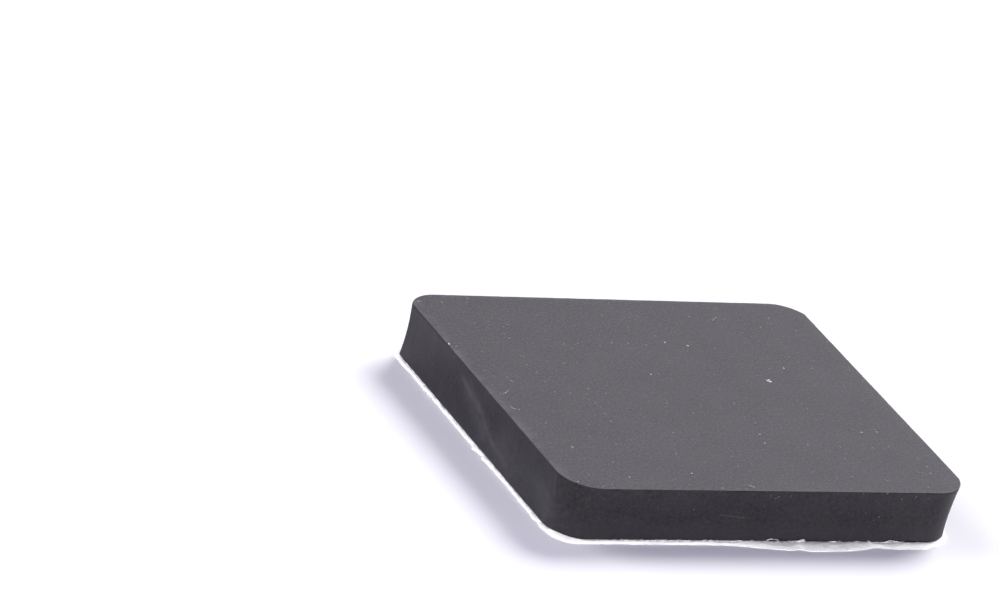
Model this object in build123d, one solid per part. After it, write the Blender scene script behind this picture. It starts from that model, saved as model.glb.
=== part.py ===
from build123d import *
import math
import os

# Self-adhesive rubber pad: a die-cut block of solid rubber, the adhesive film under it and its paper liner.
# Millimetres. The origin is the middle of the liner's underside, X runs along the long side and Z points up.

# Rubber block
pad_length = 30.0
pad_width = 25.0
rubber_thickness = 3.75
corner_radius = 2.5
# The knife's corner arcs run out this far beyond the two short sides, which leaves a faint upright crease
# where each arc meets its short side. The back corners are cut off more than the front ones.
front_corner_overrun = 0.06
back_corner_overrun = 0.26

# Wall of the block, which springs back hollow after the knife has passed
waist_depth = 0.16
waist_height = 1.35
foot_setback = 0.11
rim_round = 0.07

# Adhesive film
film_thickness = 0.13
film_setback = 0.04

# Paper liner
liner_thickness = 0.12
liner_margin = 0.03
liner_corner_radius = 1.8
# Shallow lip of the liner's front edge, from near the middle to short of the right-hand corner's arc
lip_start = -2.5
lip_corner_gap = 0.75
lip_reach = 0.65

# Spare sheet round the block that the knife cuts away
sheet_margin = 1.0

# Heights of the three layers
film_bottom = liner_thickness
rubber_bottom = film_bottom + film_thickness


def waste_section():
    """Section of the sheet outside the wall: X runs outward from the rim, Y up from the block's underside."""
    reach = math.sqrt(2) * (corner_radius + sheet_margin)
    rim_top = (-rim_round, rubber_thickness)
    rim_side = (0, rubber_thickness - rim_round)
    waist = (-waist_depth, waist_height)
    foot = (-foot_setback, 0)
    wall = [
        RadiusArc(rim_top, rim_side, rim_round),
        TangentArc(waist, rim_side, tangent=(0, 1)),
        TangentArc(waist, foot, tangent=(0, -1)),
    ]
    outside = Polyline(
        foot,
        (-foot_setback, -sheet_margin),
        (reach, -sheet_margin),
        (reach, rubber_thickness + sheet_margin),
        (-rim_round, rubber_thickness + sheet_margin),
        rim_top,
    )
    return make_face([*wall, *outside.edges()])


def side_waste(middle, outward, length):
    """Waste along one straight side, whose rim passes through middle and which faces outward."""
    along = Vector(outward).cross(Vector(0, 0, 1))
    plane = Plane(origin=middle, x_dir=outward, z_dir=along)
    return extrude(plane * waste_section(), length / 2, both=True)


def corner_waste(centre, outward_x, outward_y):
    """Waste round one corner: the wall's section turned a quarter circle about the corner's centre."""
    section = Plane.XZ * Pos(corner_radius, 0, 0) * waste_section()
    quarter = revolve(section, Axis.Z, 90)
    quadrant = {(1, 1): 0, (-1, 1): 90, (-1, -1): 180, (1, -1): 270}[(outward_x, outward_y)]
    return Pos(*centre) * Rot(0, 0, quadrant) * quarter


def rubber_pad():
    """Solid rubber block with hollow walls, cut from sheet along its sides and round its corners."""
    blank = Pos(0, 0, rubber_bottom) * Box(
        pad_length + 2 * sheet_margin,
        pad_width + 2 * sheet_margin,
        rubber_thickness,
        align=(Align.CENTER, Align.CENTER, Align.MIN),
    )
    waste = []
    for side_y, overrun in ((-1, front_corner_overrun), (1, back_corner_overrun)):
        centre_x = pad_length / 2 + overrun - corner_radius
        centre_y = side_y * (pad_width / 2 - corner_radius)
        waste.append(side_waste((0, side_y * pad_width / 2, rubber_bottom), (0, side_y, 0), 2 * centre_x))
        for side_x in (-1, 1):
            waste.append(corner_waste((side_x * centre_x, centre_y, rubber_bottom), side_x, side_y))
    for side_x in (-1, 1):
        end_length = pad_width + 2 * sheet_margin
        waste.append(side_waste((side_x * pad_length / 2, 0, rubber_bottom), (side_x, 0, 0), end_length))
    return blank - waste


def adhesive_film():
    """Adhesive film, cut with the block and set back a little from its foot."""
    setback = foot_setback + film_setback
    outline = RectangleRounded(pad_length - 2 * setback, pad_width - 2 * setback, corner_radius)
    return Pos(0, 0, film_bottom) * extrude(outline, film_thickness)


def release_liner():
    """Paper liner, proud of the rubber all round, with less rounded corners and a shallow lip in front."""
    liner_length = pad_length + 2 * liner_margin
    liner_width = pad_width + 2 * liner_margin
    front_y = -liner_width / 2
    sheet = RectangleRounded(liner_length, liner_width, liner_corner_radius)
    lip_end = liner_length / 2 - liner_corner_radius - lip_corner_gap
    lip_left = (lip_start, front_y)
    lip_right = (lip_end, front_y)
    lip_front = ((lip_start + lip_end) / 2, front_y - lip_reach)
    lip = make_face([ThreePointArc(lip_left, lip_front, lip_right), Line(lip_right, lip_left)])
    return extrude(sheet + lip, liner_thickness)


parts = {
    "rubber_pad": rubber_pad(),
    "adhesive_film": adhesive_film(),
    "release_liner": release_liner(),
}

os.makedirs("parts", exist_ok=True)
for name, shape in parts.items():
    export_step(shape, f"parts/{name}.step")
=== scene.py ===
import math
import random

import bmesh
import bpy
from mathutils import Matrix, Vector, noise


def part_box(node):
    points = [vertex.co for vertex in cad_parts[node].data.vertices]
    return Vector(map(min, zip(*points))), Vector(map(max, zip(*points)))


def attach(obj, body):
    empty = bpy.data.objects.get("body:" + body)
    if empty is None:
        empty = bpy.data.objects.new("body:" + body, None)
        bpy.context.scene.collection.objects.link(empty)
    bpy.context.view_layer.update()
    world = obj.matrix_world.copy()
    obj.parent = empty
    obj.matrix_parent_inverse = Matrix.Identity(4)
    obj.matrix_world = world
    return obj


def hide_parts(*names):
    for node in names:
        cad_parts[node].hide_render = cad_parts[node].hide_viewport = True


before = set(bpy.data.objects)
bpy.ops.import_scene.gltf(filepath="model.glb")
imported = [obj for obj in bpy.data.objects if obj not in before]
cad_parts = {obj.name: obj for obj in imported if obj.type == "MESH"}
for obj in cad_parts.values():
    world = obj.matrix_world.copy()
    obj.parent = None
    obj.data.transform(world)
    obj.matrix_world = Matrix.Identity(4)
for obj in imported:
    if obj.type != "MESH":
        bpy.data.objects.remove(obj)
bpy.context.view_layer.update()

MM = 0.001

# Sizes of the frame, in millimetres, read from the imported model
rubber_low, rubber_high = (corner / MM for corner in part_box("rubber_pad"))
film_low, film_high = (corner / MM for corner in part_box("adhesive_film"))
liner_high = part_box("release_liner")[1] / MM
half_length = rubber_high.x
half_width = rubber_high.y
rubber_bottom = rubber_low.z
rubber_top = rubber_high.z
rubber_thickness = rubber_top - rubber_bottom
liner_top = liner_high.z

# Form of the block's outline and wall, in millimetres
corner_radius = 2.5
front_overrun = 0.06
back_overrun = 0.26
waist_depth = 0.16
waist_height = 1.35
foot_setback = 0.11
rim_round = 0.07
# The knife drags the top face down a little next to the rim, and the wall with it as far down as drag_depth
edge_roll = 0.03
edge_reach = 0.45
drag_depth = 1.5
# Distances of the top face's rings of vertices from the rim
top_insets = (0.03, 0.08, 0.15, 0.25, 0.38, 0.55, 0.8, 1.2, 1.8, 2.8)
# Distance between the vertices along each outline
rubber_step = 0.14
film_step = 0.08
liner_step = 0.06

# Unevenness is given as its features per millimetre and its height in millimetres
wall_waves = (0.9, 0.014)
wall_roughness = (4.2, 0.010)

# Form of the adhesive film, in millimetres: how far it is set back, and how far its ragged edge spreads again
film_setback = 0.04
film_spread = 0.045
film_waves = ((1.4, 0.05), (5.5, 0.04))

# Form of the liner's outline, in millimetres
liner_margin = 0.03
liner_corner_radius = 1.8
# Unevenness of its edge, each with the layer of the noise that it is taken from
liner_waves = ((0, 1.3, 0.03), (4, 5, 0.04), (9, 13, 0.035))
liner_fuzz = (17, 0.02)
# The edge of the left-hand end is cut back by this much
end_trim = 0.05
# A point of the edge this near to a side's line lies on that side
side_band = 0.2
# Lip in front: where it starts to stand out, where it is widest, between which places it narrows, where it
# ends and over what length, and how far it stands out where it is widest and on its right
lip_start = -3.6
lip_full = 3.2
lip_fade = (6.0, 9.0)
lip_end = 13.3
lip_close = 0.9
lip_reach = 0.66
lip_right_reach = 0.36
# The liner is turned up at the foot of the block into a burr, which has this place, height and unevenness
burr_place = 0.05
burr_height = 0.185
burr_waves = (6, 3.1, 0.03)
# From the burr the liner falls to the bench as this power of the way out. The lip starts higher by lip_rise,
# has a power that is higher by lip_bend, and is crumpled.
edge_bend = 2.0
lip_rise = 0.13
lip_bend = 0.3
lip_crumple = (2.6, 0.06)
# Places of the liner's rows of vertices: under the block, as distances from its foot, and past it, as shares
# of the way to the edge
inner_places = (-0.5, -0.08)
outer_shares = (0.0, 0.12, 0.26, 0.42, 0.58, 0.72, 0.84, 0.93, 1.0)
# The burr is this much lower at the left-hand end
end_burr_drop = 0.04
# A column of vertices lies on a side if at least this share of its unit direction points to that side
side_share = 0.9
# Places of the front edge where the burr is low and the film shows: x, how much lower, and how far that
# spreads
low_burrs = (
    (1.9, 0.10, 1.3),
    (9.9, 0.08, 0.9),
    (-6.6, 0.05, 1.8),
    (-2.4, 0.05, 1.0),
    (6.0, 0.05, 1.2),
)
# Uneven places of the liner's edge: x, y, how far the edge stands out there and how far that spreads
liner_places = (
    (2.85, -12.5, -0.14, 0.35),
    (4.3, -12.5, 0.08, 1.0),
    (8.8, -12.5, -0.16, 0.8),
    (-15.0, 10.2, 0.12, 0.7),
    (-13.7, 12.6, 0.55, 0.80),
    (-14.8, 11.7, 0.30, 0.70),
    (-15.0, -0.75, 0.20, 0.30),
    (-15.0, -1.55, -0.10, 0.25),
    (-15.0, -2.1, 0.12, 0.22),
    (-15.0, -3.0, 0.07, 0.30),
    (-15.0, 6.9, 0.06, 0.30),
    (-15.0, 6.2, -0.06, 0.20),
    (-15.0, -6.1, -0.05, 0.15),
    (-15.0, -9.3, 0.07, 0.30),
    (-15.0, -9.8, -0.08, 0.15),
    (-15.0, -10.4, 0.09, 0.35),
)

# Camera, in millimetres: where it stands, where it aims and how far it is rolled
image_size = (1000, 615)
camera_place = Vector((-252.41, -360.13, 204.62))
camera_aim = Vector((-3.72, 18.27, 0.0))
camera_roll = math.radians(16.64)
camera_lens = 270.0
camera_sensor = 36.0

# Colours of the rubber's sheet surface and cut wall, of the film and of the paper, each from dark to light
top_tones = ((0.023, 0.0212, 0.0270), (0.070, 0.0660, 0.0755))
# The cut wall's colours are darker than the sheet's, though it is the same rubber: painted shade
shaded_wall_tones = ((0.002, 0.0014, 0.0028), (0.024, 0.0217, 0.0262))
film_tones = ((0.34, 0.33, 0.34), (0.86, 0.85, 0.84))
paper_tones = ((0.92, 0.91, 0.88), (0.965, 0.96, 0.93))
# Colours of the painted rim sheen, of the painted light low on the wall, of the scuffs and of the scored line
rim_sheen_colour = (0.100, 0.095, 0.108)
foot_light_colour = (0.034, 0.031, 0.037)
scuff_colour = (0.060, 0.056, 0.064)
scored_colour = (0.07, 0.066, 0.075)
# The top face has a painted sheen next to its left-hand and back edges, between these places in millimetres
rim_sheen_left = (-14.95, -13.9)
rim_sheen_back = (12.0, 12.45)
# The painted light low on the wall fades out between these heights in millimetres
foot_light_heights = (0.3, 2.2)
# Pin-prick dust: the width of a cell, the radius in it, the share of cells that have a dot, and the colour
top_pricks = (
    (0.36, 0.050, 0.40, (0.14, 0.14, 0.15)),
    (1.3, 0.070, 0.35, (0.24, 0.24, 0.25)),
)
wall_pricks = (0.42, 0.036, 0.5, (0.10, 0.10, 0.105))

# Tones of the dust, each from a darker tint to a lighter one
dust_tones = {
    "dim": ((0.060, 0.059, 0.063), (0.095, 0.094, 0.096)),
    "faint": ((0.11, 0.11, 0.115), (0.19, 0.19, 0.195)),
    "dull": ((0.19, 0.19, 0.20), (0.29, 0.29, 0.295)),
    "pale": ((0.42, 0.42, 0.44), (0.58, 0.58, 0.57)),
    "white": ((0.56, 0.56, 0.57), (0.70, 0.69, 0.67)),
}
# Dust on the top face: each group's grain radius in millimetres, its tone, and the pixels of the photograph
top_specks = (
    (0.100, "white", ((768.5, 380),)),
    (0.086, "pale", ((783, 368), (687.2, 345.5), (448.5, 343))),
    (0.070, "pale", ((664.3, 342), (650.5, 374.2))),
    (0.082, "dull", (
        (754.6, 423.2), (861, 432), (643, 434), (577, 481), (759, 434), (764, 443), (691, 473),
        (722, 487.2), (572, 447), (587.6, 388.5), (645, 344.7), (876, 432), (508, 338), (441, 302),
        (456, 346), (417.5, 300.6),
    )),
    (0.068, "dull", (
        (672, 480), (844, 459), (930, 473), (467, 298), (571.3, 348), (600, 406.6), (629, 477), (526, 412),
        (812, 368),
    )),
    (0.072, "faint", (
        (868.5, 398), (917, 472), (549, 380), (577, 343.3), (581.8, 346), (575.6, 362.7), (618.5, 363.3),
        (570, 393), (630.7, 408.6), (750.5, 336.8), (713.7, 374.9), (692.7, 413), (789, 357), (503, 327),
        (489, 325), (575, 326), (494, 373), (493, 366), (529, 375), (555, 370), (478, 360), (740, 317),
    )),
)
# Finer grains strewn over the top face and over each side: how many, and their least and greatest radius
top_strewn = (90, 0.020, 0.046)
side_strewn = (11, 0.016, 0.036)
# How far from the middle they lie at most, on the top face, on the long sides and on the short sides
top_spread = (14.7, 12.2)
long_side_spread = 12.3
short_side_spread = 9.8
# How near they come to the foot and to the top face, on the sides
foot_gap = 0.3
top_gap = 0.2
# No grain on the top face has its middle nearer to the rim than this
rim_margin = 0.12
# A grain's middle is this share of its radius above the surface
grain_lift = 0.2
# Limits of a grain's stretch along, across and upward, and of how far each of its points stands out
grain_stretch = ((0.75, 1.35), (0.7, 1.1), (0.3, 0.5))
grain_bulge = (0.8, 1.15)
# A grain with a larger radius than this has more points
fine_grain = 0.04
# Grains on the front wall, in the form of top_specks
wall_specks = (
    (0.062, "faint", ((887, 492.7),)),
    (0.056, "dim", ((863, 493), (770.6, 495.7), (901.6, 499), (790.7, 495.7), (879.6, 517.6), (916, 496.4))),
    (0.042, "dim", ((764.6, 506.9), (874.3, 521), (866, 513.6), (694, 510))),
)
# Lint: both ends of each fibre as pixels, its bow and its radius in millimetres, and its tone
top_fibres = (
    ((747.5, 484.6), (755, 487.0), 0.03, 0.028, "dull"),
    ((765.5, 379.6), (771.5, 381.8), 0.09, 0.040, "white"),
    ((506.5, 324), (508.4, 325.6), 0.02, 0.028, "dull"),
    ((502, 394), (508, 389.6), 0.05, 0.026, "dull"),
    ((505, 375.6), (513, 382), 0.05, 0.018, "dull"),
    ((509, 404.6), (515.4, 409.4), 0.04, 0.024, "dull"),
    ((716, 317), (712, 321), 0.04, 0.028, "dull"),
    ((843, 427.6), (854, 429.5), 0.04, 0.017, "faint"),
    ((499, 400), (506, 404), 0.03, 0.020, "dull"),
    ((883, 479), (889, 481), 0.02, 0.020, "dull"),
)
wall_fibres = (((774.3, 498.7), (779.5, 495.8), 0.02, 0.024, "faint"),)
# A fibre has this many lengths, and its middle is lifted by this much
fibre_steps = 8
fibre_lift = 0.01
# Scuffs on the left wall: both ends as pixels, the width in millimetres and the strength
wall_scuffs = (
    ((463, 378), (478, 408), 0.45, 0.55),
    ((478, 404), (491, 444), 0.38, 0.55),
    ((490, 440), (504, 466), 0.32, 0.45),
    ((468, 392), (481, 430), 1.30, 0.45),
    ((484, 432), (508, 476), 1.30, 0.30),
    ((500, 446), (548, 506), 2.20, 0.40),
    ((538, 484), (545, 512), 1.20, 0.45),
    ((556, 476), (549, 524), 0.20, 0.40),
    ((551, 474), (543, 518), 0.16, 0.35),
)
# How far the left wall stands back there
scuff_inset = 0.12
# Line scored low in the front wall: both ends as pixels, its width, strength and how far the wall stands back
scored_line = ((720.5, 514.8), (744.5, 517.4))
scored_width = 0.09
scored_strength = 0.35
scored_inset = 0.14

# Strings of adhesive in front of the foot. Each has the columns of the photograph that it spans, the height
# of its ends above the bench, its rise, how far it stands out past the foot, and its radius, in millimetres
film_strings = (
    (765, 779, 0.30, 0.13, 0.06, 0.030),
    (766, 777, 0.22, 0.03, 0.16, 0.026),
    (776, 791, 0.36, -0.14, 0.10, 0.028),
    (781, 795, 0.24, 0.04, 0.18, 0.024),
    (788, 806, 0.26, 0.06, 0.12, 0.034),
    (796, 805, 0.33, 0.04, 0.05, 0.030),
    (792, 810, 0.20, 0.02, 0.26, 0.022),
    (883, 898, 0.24, 0.12, 0.08, 0.028),
    (893, 905, 0.34, -0.06, 0.07, 0.034),
    (897, 912, 0.24, 0.03, 0.16, 0.024),
    (912, 924, 0.22, 0.05, 0.08, 0.026),
    (608, 632, 0.24, 0.02, 0.03, 0.022),
    (640, 668, 0.25, 0.02, 0.03, 0.024),
    (672, 694, 0.24, 0.03, 0.04, 0.022),
    (700, 722, 0.25, 0.03, 0.05, 0.026),
    (735, 760, 0.25, 0.02, 0.05, 0.024),
    (820, 846, 0.25, 0.03, 0.05, 0.022),
    (852, 876, 0.25, 0.02, 0.05, 0.022),
)
# Row of the photograph that the foot of the front wall stands on
foot_row = 541
# Distance between a string's rings, how it sways and lifts as it goes, and how knotty it is
string_step = 0.05
string_sway = (3.4, 0.09)
string_lift = (3.1, 0.06)
string_knots = 1.1

# Floor, in millimetres, and what camera, glossy and transmission rays see of it besides
floor_half = 1500.0
floor_grey = 0.91
floor_glow = 0.115
floor_glow_colour = (0.80, 0.78, 1.0)

# Light that the surround gives: a dim sky, and a bright strip low in front, each with its colour and level
sky = ((0.68, 0.65, 1.0), 0.25)
front_strip = ((1.0, 0.985, 1.0), 13.2)
# What glossy rays see of it, and what camera and transmission rays see
gloss_surround = ((0.96, 0.94, 1.0), 1.0)
seen_surround = ((1.0, 1.0, 1.0), 1.0)
# The strip fades out between these heights, and its middle lies this way from the pad
strip_heights = (0.05, 0.20)
strip_towards = (-0.45, -0.89, 0.0)
strip_fade = (0.0, 0.6)

# Soft lamps: the direction from the pad to the lamp, its level, its width in degrees and its colour
lamps = {
    "back_lamp": ((0.71, 0.50, 0.72), 1.02, 28, (1.0, 0.99, 0.97)),
    "left_lamp": ((-0.76, 0.36, 0.66), 0.42, 44, (0.97, 0.96, 1.0)),
}

rng = random.Random(11)


def camera_axes():
    """Right, up and forward directions of the rolled camera."""
    forward = (camera_aim - camera_place).normalized()
    level_right = forward.cross(Vector((0, 0, 1))).normalized()
    level_up = level_right.cross(forward)
    right = math.cos(camera_roll) * level_right + math.sin(camera_roll) * level_up
    return right, right.cross(forward), forward


def make_camera():
    """Camera at the photograph's viewing angle."""
    right, up, forward = camera_axes()
    data = bpy.data.cameras.new("camera")
    data.lens = camera_lens
    data.sensor_width = camera_sensor
    data.sensor_fit = "HORIZONTAL"
    camera = bpy.data.objects.new("camera", data)
    bpy.context.scene.collection.objects.link(camera)
    for row in range(3):
        camera.matrix_world[row][0] = right[row]
        camera.matrix_world[row][1] = up[row]
        camera.matrix_world[row][2] = -forward[row]
        camera.matrix_world[row][3] = camera_place[row] * MM
    bpy.context.scene.camera = camera


def on_plane(pixel, origin, normal):
    """Where the line of sight through a pixel of the photograph meets a plane, in millimetres."""
    right, up, forward = camera_axes()
    focal = camera_lens / camera_sensor * image_size[0]
    across = (pixel[0] + 0.5 - image_size[0] / 2) / focal
    down = (pixel[1] + 0.5 - image_size[1] / 2) / focal
    sight = forward + across * right - down * up
    distance = (Vector(origin) - camera_place).dot(Vector(normal)) / sight.dot(Vector(normal))
    return camera_place + distance * sight


def new_object(name, bm, materials, smooth=True):
    """Object from a bmesh in millimetres."""
    bmesh.ops.scale(bm, vec=(MM, MM, MM), verts=bm.verts)
    mesh = bpy.data.meshes.new(name)
    bm.to_mesh(mesh)
    bm.free()
    for polygon in mesh.polygons:
        polygon.use_smooth = smooth
    for material in materials:
        mesh.materials.append(material)
    obj = bpy.data.objects.new(name, mesh)
    bpy.context.scene.collection.objects.link(obj)
    return obj


class Nodes:
    """Short hand for the node tree of a material or of the world."""

    def __init__(self, owner):
        owner.use_nodes = True
        self.tree = owner.node_tree
        self.tree.nodes.clear()

    def add(self, kind, **settings):
        node = self.tree.nodes.new(kind)
        for key, value in settings.items():
            setattr(node, key, value)
        return node

    def link(self, start, end):
        self.tree.links.new(start, end)

    def ramp(self, value, low, high, to_low=0.0, to_high=1.0, smooth=False):
        node = self.add("ShaderNodeMapRange")
        if smooth:
            node.interpolation_type = "SMOOTHSTEP"
        node.inputs["From Min"].default_value = low
        node.inputs["From Max"].default_value = high
        node.inputs["To Min"].default_value = to_low
        node.inputs["To Max"].default_value = to_high
        self.link(value, node.inputs["Value"])
        return node.outputs["Result"]

    def math(self, operation, first, second):
        node = self.add("ShaderNodeMath", operation=operation)
        for socket, value in zip(node.inputs, (first, second)):
            if isinstance(value, (int, float)):
                socket.default_value = value
            else:
                self.link(value, socket)
        return node.outputs[0]


class Surface(Nodes):
    """Short hand for one material's node tree, with its shader and object coordinates."""

    def __init__(self, name):
        self.material = bpy.data.materials.new(name)
        super().__init__(self.material)
        self.shader = self.add("ShaderNodeBsdfPrincipled")
        self.link(self.shader.outputs[0], self.add("ShaderNodeOutputMaterial").inputs["Surface"])
        self.place = self.add("ShaderNodeTexCoord").outputs["Object"]

    def scaled(self, scale):
        """Object coordinates times a scale, which is in features per millimetre."""
        mapping = self.add("ShaderNodeMapping")
        mapping.inputs["Scale"].default_value = [s / MM for s in scale]
        self.link(self.place, mapping.inputs["Vector"])
        return mapping.outputs[0]

    def axis(self, name):
        """One of the object coordinates, in metres."""
        split = self.add("ShaderNodeSeparateXYZ")
        self.link(self.place, split.inputs[0])
        return split.outputs[name]

    def noise(self, scale, detail=2.0, roughness=0.5):
        """Noise whose scale along each axis is in features per millimetre."""
        node = self.add("ShaderNodeTexNoise")
        node.inputs["Scale"].default_value = 1.0
        node.inputs["Detail"].default_value = detail
        node.inputs["Roughness"].default_value = roughness
        self.link(self.scaled(scale), node.inputs["Vector"])
        return node.outputs["Fac"]

    def total(self, *values):
        """Sum of several values."""
        result = values[0]
        for value in values[1:]:
            result = self.math("ADD", result, value)
        return result

    def mix(self, factor, first, second):
        """Mix of two colours, each a tuple or a socket: inputs 6 and 7 take them, and output 2 gives it."""
        node = self.add("ShaderNodeMix", data_type="RGBA")
        self.link(factor, node.inputs["Factor"])
        for socket, value in ((node.inputs[6], first), (node.inputs[7], second)):
            if isinstance(value, tuple):
                socket.default_value = (*value, 1.0)
            else:
                self.link(value, socket)
        return node.outputs[2]

    def tinted(self, tone, colours, tint):
        """Mix of a dark and a light colour by tone, whose hue drifts a little from place to place."""
        drift = self.ramp(self.noise((1.6, 1.6, 1.6), detail=3.0), 0.35, 0.65)
        cool = (1 - tint, 1 - 0.4 * tint, 1 + tint)
        warm = (1 + tint, 1.0, 1 - 0.6 * tint)
        ends = []
        for colour in colours:
            hues = (tuple(c * h for c, h in zip(colour, hue)) for hue in (cool, warm))
            ends.append(self.mix(drift, *hues))
        return self.mix(tone, *ends)

    def bump(self, height, distance):
        """Bump of a height, whose full range is a distance in millimetres."""
        node = self.add("ShaderNodeBump")
        node.inputs["Strength"].default_value = 1.0
        node.inputs["Distance"].default_value = distance * MM
        self.link(height, node.inputs["Height"])
        return node.outputs["Normal"]

    def streak(self, start, end, width):
        """Soft mask round a straight line between two points, all in millimetres."""
        start, run = Vector(start) * MM, (Vector(end) - Vector(start)) * MM
        offset = self.add("ShaderNodeVectorMath", operation="SUBTRACT")
        self.link(self.place, offset.inputs[0])
        offset.inputs[1].default_value = start
        share = self.add("ShaderNodeVectorMath", operation="DOT_PRODUCT")
        self.link(offset.outputs[0], share.inputs[0])
        share.inputs[1].default_value = run / run.length_squared
        held = self.add("ShaderNodeClamp")
        self.link(share.outputs["Value"], held.inputs[0])
        nearest = self.add("ShaderNodeVectorMath", operation="SCALE")
        nearest.inputs[0].default_value = run
        self.link(held.outputs[0], nearest.inputs["Scale"])
        gap = self.add("ShaderNodeVectorMath", operation="DISTANCE")
        self.link(offset.outputs[0], gap.inputs[0])
        self.link(nearest.outputs[0], gap.inputs[1])
        return self.ramp(gap.outputs["Value"], 0, width * MM, 1, 0, smooth=True)

    def speckle(self, cell, radius, share, flat=False):
        """Mask of tiny scattered dots: one dot in a share of the cells, which are cell millimetres wide."""
        dimensions = "2D" if flat else "3D"
        voronoi = self.add("ShaderNodeTexVoronoi", feature="F1", voronoi_dimensions=dimensions)
        voronoi.inputs["Scale"].default_value = 1.0
        self.link(self.scaled((1 / cell, 1 / cell, 1 / cell)), voronoi.inputs["Vector"])
        split = self.add("ShaderNodeSeparateColor")
        self.link(voronoi.outputs["Color"], split.inputs[0])
        chosen = self.math("LESS_THAN", split.outputs[0], share)
        size = self.ramp(split.outputs[1], 0, 1, 0.35 * radius / cell, radius / cell)
        near = self.math("SUBTRACT", size, voronoi.outputs["Distance"])
        dot = self.ramp(near, 0, 0.35 * radius / cell)
        return self.math("MULTIPLY", dot, chosen)


def rubber_top_material():
    """Sheet surface of the rubber: matt, finely grained and mottled, with pin-prick dust and a painted rim
    sheen.
    """
    nodes = Surface("rubber_top")
    mottle = nodes.noise((0.30, 0.30, 0.30), detail=4.0, roughness=0.6)
    grain = nodes.noise((5.0, 5.0, 5.0), detail=2.0, roughness=0.8)
    tone = nodes.total(nodes.ramp(mottle, 0.3, 0.7, 0.0, 0.2), nodes.ramp(grain, 0.38, 0.62, 0.0, 0.8))
    base = nodes.tinted(tone, top_tones, 0.03)
    # Painted sheen: the top is made paler in patches next to its left-hand and back rim
    rim_sheen = nodes.total(
        nodes.ramp(nodes.axis("X"), *(x * MM for x in rim_sheen_left), 1, 0, smooth=True),
        nodes.ramp(nodes.axis("Y"), *(y * MM for y in rim_sheen_back), 0, 0.8, smooth=True),
    )
    patchy = nodes.ramp(nodes.noise((1.1, 1.1, 1.1), detail=4.0), 0.35, 0.65, 0.1, 0.8)
    base = nodes.mix(nodes.math("MULTIPLY", rim_sheen, patchy), base, rim_sheen_colour)
    for cell, radius, share, colour in top_pricks:
        base = nodes.mix(nodes.speckle(cell, radius, share, flat=True), base, colour)
    nodes.link(base, nodes.shader.inputs["Base Color"])
    nodes.link(nodes.ramp(grain, 0.3, 0.7, 0.58, 0.68), nodes.shader.inputs["Roughness"])
    nodes.shader.inputs["Specular IOR Level"].default_value = 0.18
    nodes.link(nodes.bump(grain, 0.016), nodes.shader.inputs["Normal"])
    return nodes.material


def rubber_wall_material():
    """Cut wall of the rubber: painted darker as shade, with faint upright traces of the knife, painted light
    at the foot, and scuffs.
    """
    nodes = Surface("rubber_wall")
    mottle = nodes.noise((0.45, 0.45, 0.8), detail=4.0, roughness=0.6)
    trace = nodes.noise((6.0, 6.0, 0.7), detail=3.0)
    grain = nodes.noise((4.6, 4.6, 4.6), detail=3.0, roughness=0.85)
    tone = nodes.total(
        nodes.ramp(mottle, 0.3, 0.7, 0.0, 0.20),
        nodes.ramp(trace, 0.3, 0.7, 0.0, 0.03),
        nodes.ramp(grain, 0.35, 0.65, 0.0, 0.77),
    )
    # Painted shade: the wall's colours are darker than the top's
    base = nodes.tinted(tone, shaded_wall_tones, 0.07)
    # Painted light: the wall is made paler low down, where it falls into shade near the floor
    foot_light = nodes.ramp(nodes.axis("Z"), *(z * MM for z in foot_light_heights), 0.40, 0.0, smooth=True)
    base = nodes.mix(foot_light, base, foot_light_colour)
    broken = nodes.ramp(nodes.noise((3.0, 1.2, 3.0), detail=5.0, roughness=0.7), 0.3, 0.7, 0.2, 1.0)
    left_wall = (-half_length + scuff_inset, 0, 0)
    for start_pixel, end_pixel, width, strength in wall_scuffs:
        start, end = (on_plane(pixel, left_wall, (1, 0, 0)) for pixel in (start_pixel, end_pixel))
        mark = nodes.math("MULTIPLY", nodes.streak(start, end, width), broken)
        base = nodes.mix(nodes.math("MULTIPLY", mark, strength), base, scuff_colour)
    front_wall = (0, -half_width + scored_inset, 0)
    start, end = (on_plane(pixel, front_wall, (0, 1, 0)) for pixel in scored_line)
    mark = nodes.math("MULTIPLY", nodes.streak(start, end, scored_width), scored_strength)
    base = nodes.mix(mark, base, scored_colour)
    cell, radius, share, colour = wall_pricks
    base = nodes.mix(nodes.speckle(cell, radius, share), base, colour)
    nodes.link(base, nodes.shader.inputs["Base Color"])
    nodes.link(nodes.ramp(grain, 0.3, 0.7, 0.44, 0.54), nodes.shader.inputs["Roughness"])
    nodes.shader.inputs["Specular IOR Level"].default_value = 0.24
    relief = nodes.total(nodes.math("MULTIPLY", trace, 0.1), grain)
    nodes.link(nodes.bump(relief, 0.012), nodes.shader.inputs["Normal"])
    return nodes.material


def film_material():
    """Adhesive film: cloudy grey with paler, stretched strands."""
    nodes = Surface("adhesive")
    strand = nodes.noise((3.0, 3.0, 9.0), detail=3.0)
    base = nodes.mix(nodes.ramp(strand, 0.35, 0.65), *film_tones)
    nodes.link(base, nodes.shader.inputs["Base Color"])
    nodes.shader.inputs["Roughness"].default_value = 0.42
    nodes.link(nodes.bump(strand, 0.02), nodes.shader.inputs["Normal"])
    return nodes.material


def paper_material():
    """White coated paper with a fibrous edge."""
    nodes = Surface("paper")
    fibre = nodes.noise((9.0, 9.0, 20.0), detail=3.0)
    base = nodes.mix(nodes.ramp(fibre, 0.35, 0.65), *paper_tones)
    nodes.link(base, nodes.shader.inputs["Base Color"])
    nodes.shader.inputs["Roughness"].default_value = 0.55
    nodes.link(nodes.bump(fibre, 0.008), nodes.shader.inputs["Normal"])
    return nodes.material


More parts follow.
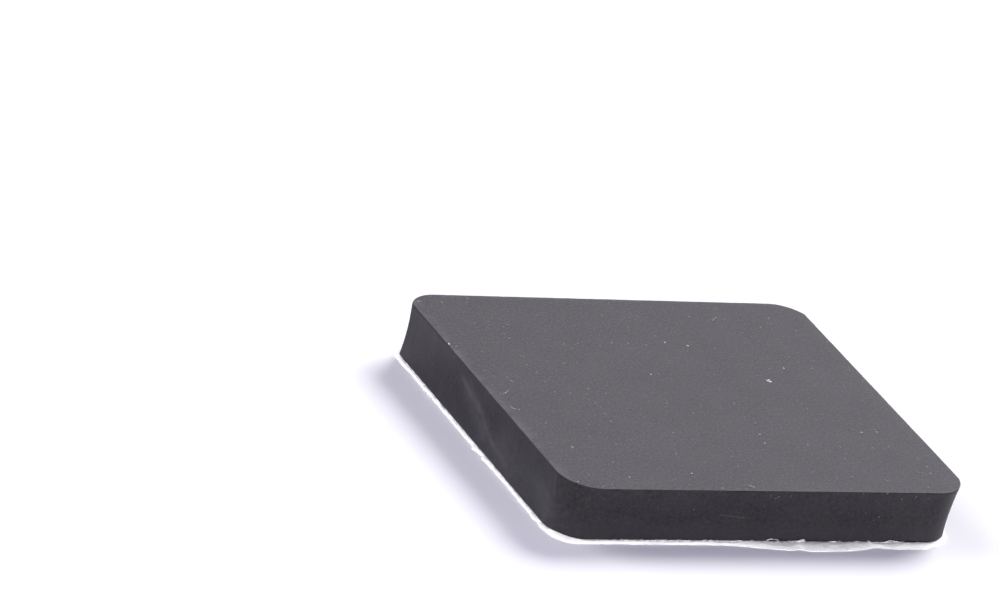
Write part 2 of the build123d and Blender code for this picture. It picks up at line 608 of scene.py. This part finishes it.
def dust_material(name, dark, light):
    """Dust or lint, from one tint to another."""
    nodes = Surface(f"{name}_dust")
    tint = nodes.noise((0.9, 0.9, 0.9), detail=3.0)
    nodes.link(nodes.mix(nodes.ramp(tint, 0.35, 0.65), dark, light), nodes.shader.inputs["Base Color"])
    nodes.shader.inputs["Roughness"].default_value = 0.8
    return nodes.material


def outline(half_x, half_y, radius, overruns, step):
    """Closed outline as (point, outward mitre) pairs, counter-clockwise from the front side's left end.

    A mitre is as long as a point has to move for the lines on both sides of it to move by 1. An overrun
    corner has a crease, which gets a point of its own and one close by on each side, so that it stays crisp.
    """
    crease_gap = 0.09
    rows = []
    for side_x, side_y in ((1, -1), (1, 1), (-1, 1), (-1, -1)):
        overrun = overruns[side_y]
        centre = Vector((side_x * (half_x + overrun - radius), side_y * (half_y - radius)))
        crease = math.acos(min(1.0, (radius - overrun) / radius))
        angles = []
        if overrun > 0:
            angles = [crease, crease + crease_gap / radius]
        first = angles[-1] if angles else 0.0
        turns = max(4, round(radius * (math.pi / 2 - first) / step))
        arc = []
        for angle in angles[:-1] + [first + (math.pi / 2 - first) * k / turns for k in range(turns + 1)]:
            normal = Vector((side_x * math.cos(angle), side_y * math.sin(angle)))
            mitre = normal
            if overrun > 0 and angle == crease:
                both = normal + Vector((side_x, 0))
                mitre = both.normalized() / math.cos(crease / 2)
            arc.append((centre + radius * normal, mitre))
        if overrun > 0:
            start, mitre = arc[0]
            arc.insert(0, (start - Vector((0, side_y * crease_gap)), Vector((side_x, 0))))
        if side_x * side_y < 0:
            arc.reverse()
        rows.append(arc)
    points = []
    for row, following in zip(rows, rows[1:] + rows[:1]):
        points.extend(row)
        start, end = row[-1][0], following[0][0]
        run = end - start
        normal = Vector((run.y, -run.x)).normalized()
        pieces = max(1, round(run.length / step))
        for k in range(1, pieces):
            points.append((start + run * k / pieces, normal))
    return points


def arc_depth(length, sagitta, along):
    """Depth of a circular arc at a place along it: sagitta where it is deepest, 0 at length from there."""
    radius = (length ** 2 + sagitta ** 2) / (2 * sagitta)
    return math.sqrt(radius ** 2 - along ** 2) - radius + sagitta


def wall_inset(height):
    """How far the wall stands back from the rim's line at a height above the block's underside."""
    if height > rubber_thickness - rim_round:
        rise = height - (rubber_thickness - rim_round)
        return rim_round - math.sqrt(max(0.0, rim_round ** 2 - rise ** 2))
    if height > waist_height:
        return arc_depth(rubber_thickness - rim_round - waist_height, waist_depth, height - waist_height)
    flare = waist_depth - foot_setback
    return foot_setback + arc_depth(waist_height, flare, waist_height - height)


def wall_heights():
    """Heights of the wall's rows above the block's underside, from the top face's edge down to the foot."""
    round_rows, upper_rows, lower_rows = 6, 16, 9
    rim_foot = rubber_thickness - rim_round
    heights = [rim_foot + rim_round * math.cos(math.pi / 2 * k / round_rows) for k in range(round_rows + 1)]
    heights += [rim_foot + (waist_height - rim_foot) * k / upper_rows for k in range(1, upper_rows + 1)]
    heights += [waist_height * (1 - k / lower_rows) for k in range(1, lower_rows + 1)]
    return heights


def top_height(point):
    """Height of the top face, which rolls off a little near the rim."""
    across = Vector((abs(point.x) - half_length + corner_radius, abs(point.y) - half_width + corner_radius))
    outside = Vector((max(across.x, 0), max(across.y, 0))).length + min(max(across.x, across.y), 0)
    inset = max(corner_radius - outside, rim_round)
    return rubber_top - edge_roll * math.exp(-((inset - rim_round) / edge_reach) ** 2)


def bridge(bm, lower, upper, material_index=0):
    """Quads between two closed rings of vertices with the same count."""
    count = len(lower)
    for k in range(count):
        face = bm.faces.new((lower[k], lower[(k + 1) % count], upper[(k + 1) % count], upper[k]))
        face.material_index = material_index


def ripple(x, y, z, scale, height):
    """Small unevenness at a place."""
    return height * noise.noise(Vector((scale * x, scale * y, scale * z)))


def make_rubber(materials):
    """The rubber block: hollow cut walls, a barely rounded rim, and a top that rolls off a little to it."""
    overruns = {-1: front_overrun, 1: back_overrun}
    points = outline(half_length, half_width, corner_radius, overruns, rubber_step)
    bm = bmesh.new()
    rings = []
    for height in wall_heights():
        row = []
        drop = edge_roll * max(0.0, 1 - (rubber_thickness - height) / drag_depth)
        for point, mitre in points:
            uneven = ripple(point.x, point.y, 0.35 * height, *wall_waves)
            uneven += ripple(point.x, point.y, height, *wall_roughness)
            place = point - (wall_inset(height) + uneven) * mitre
            row.append(bm.verts.new((*place, rubber_bottom + height - drop)))
        rings.append(row)
    for upper, lower in zip(rings, rings[1:]):
        bridge(bm, lower, upper, 1)
    foot = bm.faces.new(list(reversed(rings[-1])))
    foot.material_index = 1
    outer = rings[0]
    rim = [vert.co.copy() for vert in outer]
    for inset in top_insets:
        inner = []
        for corner in rim:
            place = Vector((corner.x * (1 - inset / half_length), corner.y * (1 - inset / half_width)))
            inner.append(bm.verts.new((*place, top_height(place))))
        bridge(bm, outer, inner, 0)
        outer = inner
    cap = bm.faces.new(outer)
    bmesh.ops.triangulate(bm, faces=[foot, cap])
    return new_object("rubber_block", bm, materials)


def tube(bm, points, radius, sides=7, material_index=0, knots=0.0):
    """Closed tube along some points, thinner towards its two ends and uneven by knots times its radius."""
    rings = []
    last = len(points) - 1
    aside = Vector((0.31, 0.17, 0.94))  # A direction that no tube here runs along
    for k, point in enumerate(points):
        ahead = (points[min(k + 1, last)] - points[max(k - 1, 0)]).normalized()
        across = ahead.cross(aside).normalized()
        over = ahead.cross(across)
        share = k / last
        girth = radius * math.sqrt(max(0.04, 1 - (2 * share - 1) ** 8))
        girth *= 1 + knots * noise.noise(5.3 * point)
        ring = []
        for n in range(sides):
            angle = 2 * math.pi * n / sides
            ring.append(bm.verts.new(point + girth * (math.cos(angle) * across + math.sin(angle) * over)))
        rings.append(ring)
    for start, end in zip(rings, rings[1:]):
        bridge(bm, start, end, material_index)
    for end in (list(reversed(rings[0])), rings[-1]):
        bm.faces.new(end).material_index = material_index


def film_string(bm, start, end, height, rise, out, radius):
    """One string of adhesive in front of the foot, from start to end in x, which wanders as it goes."""
    steps = max(8, round((end - start) / string_step))
    phase = rng.uniform(0, 40)
    sway_rate, sway_size = string_sway
    lift_rate, lift_size = string_lift
    points = []
    for k in range(steps + 1):
        share = k / steps
        x = start + (end - start) * share
        sway = sway_size * noise.noise(Vector((sway_rate * x, phase, 7)))
        lift = rise * math.sin(math.pi * share) + lift_size * noise.noise(Vector((lift_rate * x, phase, 0)))
        stand_out = out * math.sin(math.pi * min(1.0, 0.15 + share * 0.85)) ** 0.5
        y = -half_width + foot_setback - stand_out + sway
        points.append(Vector((x, y, max(radius, height + lift))))
    tube(bm, points, radius, knots=string_knots)


def make_film(material):
    """Adhesive film with a ragged edge round the foot of the block, and strings of it pulled out in front."""
    setback = foot_setback + film_setback
    points = outline(half_length - setback, half_width - setback, corner_radius, {-1: 0.0, 1: 0.0}, film_step)
    bm = bmesh.new()
    rows = []
    for share in (0.0, 0.25, 0.5, 0.75, 1.0):
        height = film_low.z + share * (film_high.z - film_low.z)
        row = []
        for point, mitre in points:
            out = film_spread + sum(ripple(point.x, point.y, 2 * share, *wave) for wave in film_waves)
            row.append(bm.verts.new((*(point + out * mitre), height)))
        rows.append(row)
    for lower, upper in zip(rows, rows[1:]):
        bridge(bm, lower, upper)
    caps = [bm.faces.new(rows[-1]), bm.faces.new(list(reversed(rows[0])))]
    bmesh.ops.triangulate(bm, faces=caps)
    for start_column, end_column, *form in film_strings:
        pixels = ((start_column, foot_row), (end_column, foot_row))
        ends = (on_plane(pixel, (0, -half_width, 0), (0, 1, 0)).x for pixel in pixels)
        film_string(bm, *ends, *form)
    return new_object("film_edge", bm, [material])


def smooth_step(value, low, high):
    """Smooth rise from 0 at low to 1 at high."""
    share = min(1.0, max(0.0, (value - low) / (high - low)))
    return share * share * (3 - 2 * share)


def lip_out(x):
    """How far the lip of the liner's front edge stands out at a place along the edge."""
    full = lip_reach + (lip_right_reach - lip_reach) * smooth_step(x, *lip_fade)
    return full * smooth_step(x, lip_start, lip_full) * (1 - smooth_step(x, lip_end - lip_close, lip_end))


def liner_reach(point):
    """How far the liner's edge stands out past its cut line at a point, in millimetres."""
    out = sum(ripple(point.x, point.y, *wave) for wave in liner_waves)
    if point.y < -half_width + side_band:
        out += lip_out(point.x)
    elif point.x < -half_length + side_band:
        out -= end_trim
    for x, y, place_out, spread in liner_places:
        gap = math.hypot(point.x - x, point.y - y) / spread
        out += place_out * math.exp(-gap * gap)
    return out


def past_foot(point):
    """How far a point lies outside the line of the block's foot, and in which direction from it."""
    across = Vector((
        abs(point.x) - (half_length - foot_setback - corner_radius),
        abs(point.y) - (half_width - foot_setback - corner_radius),
    ))
    if min(across) > 0:
        away = across
    else:
        away = Vector((across.x, 0)) if across.x > across.y else Vector((0, across.y))
    direction = Vector((math.copysign(away.x, point.x), math.copysign(away.y, point.y))).normalized()
    return away.length - corner_radius, direction


def make_liner(material):
    """Paper liner with a burr at the foot of the block, and an uneven edge that turns down to the bench."""
    liner_half = (half_length + liner_margin, half_width + liner_margin)
    points = outline(*liner_half, liner_corner_radius, {-1: 0.0, 1: 0.0}, liner_step)
    # Each column of vertices has its place at the foot, its direction out, and how far it reaches
    columns = []
    for point, _ in points:
        gap, direction = past_foot(point)
        columns.append((point - gap * direction, direction, gap + liner_reach(point)))
    bm = bmesh.new()
    rows = []
    inner = [(place, liner_top) for place in inner_places] + [(0.0, 0.5 * (liner_top + burr_height))]
    for place, height in inner:
        rows.append([bm.verts.new((*(foot + place * direction), height)) for foot, direction, _ in columns])
    for share in outer_shares:
        row = []
        for foot, direction, reach in columns:
            lip = max(0.0, min(1.0, (reach - burr_place) / lip_reach))
            fuzz = ripple(foot.x, foot.y, 3 * share, *liner_fuzz) * share
            place = foot + (burr_place + (reach - burr_place) * share + fuzz) * direction
            crest = burr_height + ripple(foot.x, foot.y, *burr_waves) + lip_rise * lip
            if direction.x < -side_share:
                crest -= end_burr_drop
            if direction.y < -side_share:
                crest -= sum(low * math.exp(-((foot.x - x) / spread) ** 2) for x, low, spread in low_burrs)
            crumple = ripple(foot.x, foot.y, 3 * share, *lip_crumple) * lip * share * (1 - share) * 4
            height = crest * (1 - share ** (edge_bend + lip_bend * lip)) + crumple
            row.append(bm.verts.new((*place, max(0.0, height))))
        rows.append(row)
    for upper, lower in zip(rows, rows[1:]):
        bridge(bm, lower, upper)
    caps = [bm.faces.new(rows[0]), bm.faces.new(list(reversed(rows[-1])))]
    bmesh.ops.triangulate(bm, faces=caps)
    return new_object("paper_liner", bm, [material])


def dust_grain(bm, foot, normal, radius, material_index):
    """One grain of dust: an uneven lump, a little flat, that sits on a surface at its foot."""
    centre = foot + grain_lift * radius * normal
    lump = bmesh.ops.create_icosphere(bm, subdivisions=2 if radius > fine_grain else 1, radius=1.0)
    spin = Matrix.Rotation(rng.uniform(0, 2 * math.pi), 3, "Z")
    stretch = [rng.uniform(*limits) for limits in grain_stretch]
    stand = Vector((0, 0, 1)).rotation_difference(normal).to_matrix()
    for vert in lump["verts"]:
        bulge = rng.uniform(*grain_bulge)
        shape = Vector(c * s for c, s in zip(vert.co, stretch)) * bulge * radius
        vert.co = centre + stand @ (spin @ shape)
        for face in vert.link_faces:
            face.material_index = material_index


def onto_top(place):
    """The place on the top face, moved in where it lies beyond the rim or too near it for a grain."""
    centre = Vector((
        max(corner_radius - half_length, min(half_length - corner_radius, place.x)),
        max(corner_radius - half_width, min(half_width - corner_radius, place.y)),
    ))
    away = Vector((place.x, place.y)) - centre
    if away.length > corner_radius - rim_margin:
        away *= (corner_radius - rim_margin) / away.length
    flat = centre + away
    return Vector((*flat, top_height(flat)))


def onto_front(place):
    """The place on the front wall at the height of a point."""
    place = place.copy()
    place.y = wall_inset(place.z - rubber_bottom) - half_width
    return place


def make_dust():
    """Dust and lint as the photograph shows it, with finer grains strewn between."""
    bm = bmesh.new()
    tone_index = {name: index for index, name in enumerate(dust_tones)}
    up, front = Vector((0, 0, 1)), Vector((0, -1, 0))
    surfaces = (
        (top_specks, top_fibres, Vector((0, 0, rubber_top)), up, onto_top),
        (wall_specks, wall_fibres, Vector((0, -half_width, 0)), front, onto_front),
    )
    for specks, fibres, origin, normal, onto in surfaces:
        for radius, tone, pixels in specks:
            for pixel in pixels:
                dust_grain(bm, onto(on_plane(pixel, origin, normal)), normal, radius, tone_index[tone])
        for start_pixel, end_pixel, bow, radius, tone in fibres:
            start, end = (on_plane(pixel, origin, normal) for pixel in (start_pixel, end_pixel))
            across = (end - start).cross(normal).normalized()
            points = []
            for k in range(fibre_steps + 1):
                rise = math.sin(math.pi * k / fibre_steps)
                point = onto(start.lerp(end, k / fibre_steps) + across * bow * rise)
                points.append(point + (0.5 * radius + fibre_lift * rise) * normal)
            tube(bm, points, radius, sides=6, material_index=tone_index[tone])
    count, least, most = top_strewn
    for _ in range(count):
        x, y = (rng.uniform(-reach, reach) for reach in top_spread)
        radius = least + (most - least) * rng.random() ** 2
        dust_grain(bm, onto_top(Vector((x, y, 0))), up, radius, tone_index["dull"])
    count, least, most = side_strewn
    for side in range(4):
        for _ in range(count):
            height = rng.uniform(foot_gap, rubber_thickness - top_gap)
            radius = least + (most - least) * rng.random() ** 2
            inset = wall_inset(height)
            if side % 2:
                outward = Vector((side - 2, 0, 0))
                along = Vector((0, rng.uniform(-short_side_spread, short_side_spread), 0))
                place = outward * (half_length - inset) + along
            else:
                outward = Vector((0, side - 1, 0))
                along = Vector((rng.uniform(-long_side_spread, long_side_spread), 0, 0))
                place = outward * (half_width - inset) + along
            place.z = rubber_bottom + height
            dust_grain(bm, place, outward, radius, tone_index["dim"])
    return new_object("dust", bm, [dust_material(name, *tints) for name, tints in dust_tones.items()])


def make_floor():
    """White floor that keeps the shadow: camera, glossy and transmission rays see it a little brighter."""
    bm = bmesh.new()
    signs = ((-1, -1), (1, -1), (1, 1), (-1, 1))
    bm.faces.new([bm.verts.new((x * floor_half, y * floor_half, 0)) for x, y in signs])
    nodes = Surface("floor")
    nodes.shader.inputs["Base Color"].default_value = (floor_grey, floor_grey, floor_grey, 1)
    nodes.shader.inputs["Roughness"].default_value = 0.9
    nodes.shader.inputs["Specular IOR Level"].default_value = 0.0
    path = nodes.add("ShaderNodeLightPath")
    seen = nodes.math("MAXIMUM", path.outputs["Is Camera Ray"], path.outputs["Is Glossy Ray"])
    seen = nodes.math("MAXIMUM", seen, path.outputs["Is Transmission Ray"])
    nodes.shader.inputs["Emission Color"].default_value = (*floor_glow_colour, 1)
    nodes.link(nodes.math("MULTIPLY", seen, floor_glow), nodes.shader.inputs["Emission Strength"])
    floor = new_object("floor", bm, [nodes.material], smooth=False)


def make_world():
    """Pale surround, white to the camera, which lights the pad as a dim sky over a low bright front."""
    world = bpy.data.worlds.new("surround")
    bpy.context.scene.world = world
    nodes = Nodes(world)

    def background(colour, level):
        made = nodes.add("ShaderNodeBackground")
        made.inputs["Color"].default_value = (*colour, 1)
        made.inputs["Strength"].default_value = level
        return made.outputs[0]

    def choose(factor, first, second):
        made = nodes.add("ShaderNodeMixShader")
        for socket, value in zip(made.inputs, (factor, first, second)):
            nodes.link(value, socket)
        return made.outputs[0]

    place = nodes.add("ShaderNodeTexCoord").outputs["Generated"]
    split = nodes.add("ShaderNodeSeparateXYZ")
    nodes.link(place, split.inputs[0])
    forward = nodes.add("ShaderNodeVectorMath", operation="DOT_PRODUCT")
    nodes.link(place, forward.inputs[0])
    forward.inputs[1].default_value = strip_towards
    low = nodes.ramp(split.outputs["Z"], *strip_heights, 1, 0, smooth=True)
    front = nodes.ramp(forward.outputs["Value"], *strip_fade, smooth=True)
    path = nodes.add("ShaderNodeLightPath")
    lit = choose(nodes.math("MULTIPLY", low, front), background(*sky), background(*front_strip))
    lit = choose(path.outputs["Is Glossy Ray"], lit, background(*gloss_surround))
    direct = nodes.math("MAXIMUM", path.outputs["Is Camera Ray"], path.outputs["Is Transmission Ray"])
    seen = choose(direct, lit, background(*seen_surround))
    nodes.link(seen, nodes.add("ShaderNodeOutputWorld").inputs["Surface"])


def make_sun(name, towards, level, width, colour):
    """Distant soft lamp, whose level is how bright it makes a white face that is turned to it."""
    data = bpy.data.lights.new(name, "SUN")
    data.energy = level * math.pi
    data.angle = math.radians(width)
    data.color = colour
    lamp = bpy.data.objects.new(name, data)
    bpy.context.scene.collection.objects.link(lamp)
    lamp.rotation_euler = Vector(towards).to_track_quat("Z", "Y").to_euler()


make_camera()
make_floor()
make_world()
for lamp_name, lamp_form in lamps.items():
    make_sun(lamp_name, *lamp_form)

rubber = make_rubber([rubber_top_material(), rubber_wall_material()])
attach(rubber, "root")
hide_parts("rubber_pad")

film = make_film(film_material())
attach(film, "root")
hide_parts("adhesive_film")

liner = make_liner(paper_material())
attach(liner, "root")
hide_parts("release_liner")

dust = make_dust()
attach(dust, "root")

bpy.context.scene.view_settings.view_transform = "Standard"
